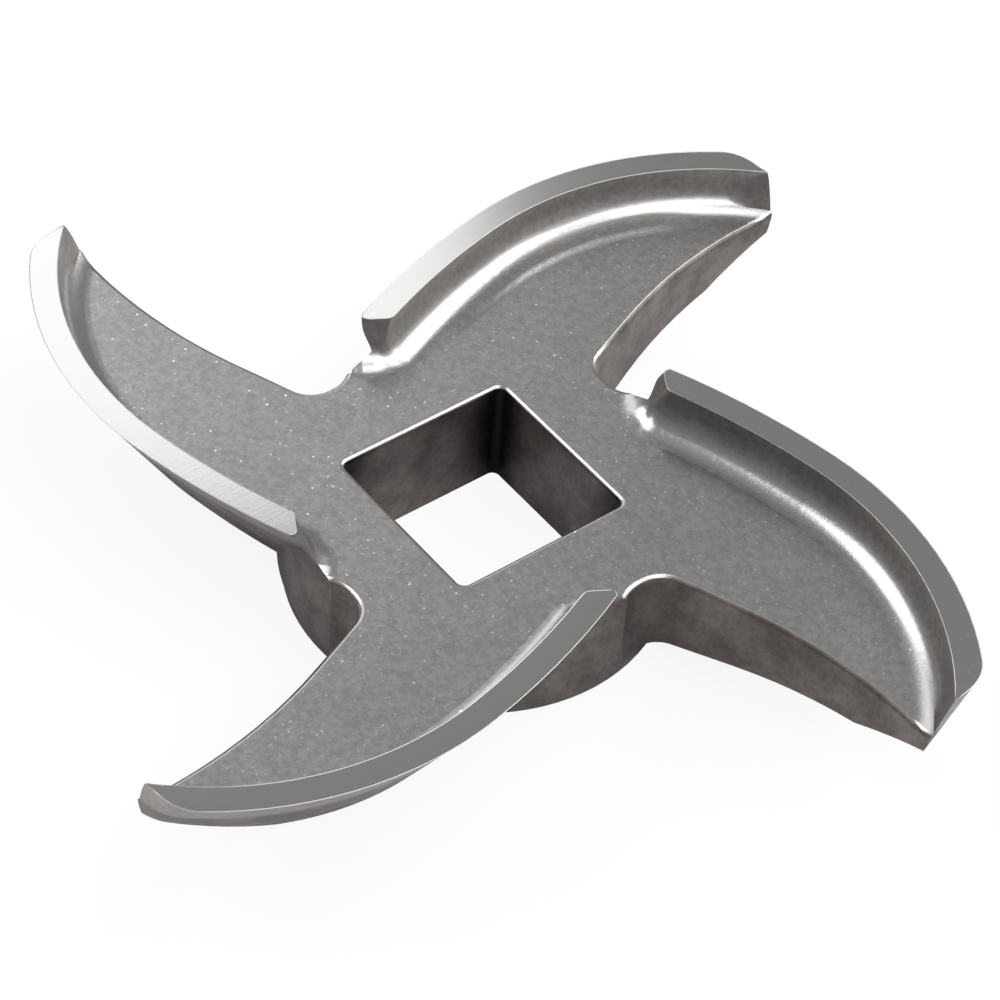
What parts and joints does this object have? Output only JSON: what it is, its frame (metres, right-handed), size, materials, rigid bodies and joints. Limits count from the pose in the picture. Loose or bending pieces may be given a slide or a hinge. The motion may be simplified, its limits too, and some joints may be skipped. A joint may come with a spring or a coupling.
{
  "type": "meat grinder knife",
  "caption": "Curved-arm meat grinder knife: ground cutting ribs with undercut leading walls on a flat web, round boss below and a square drive hole.",
  "frame": {"origin": "centre of the boss's underside, on the feed screw's axis", "axes": "+Z along the feed screw's axis, from the boss towards the plate the ribs run on; the first arm points to -X and leads with its -Y side, and the knife turns counter-clockwise seen from +Z"},
  "size_m": [0.072, 0.072, 0.0121],
  "materials": {
    "cast_stainless": "investment-cast stainless steel, blasted skin, ground flat on the rib faces and the boss's underside"
  },
  "bodies": {
    "root": {"grinder_knife": "cast_stainless"}
  },
  "joints": []
}
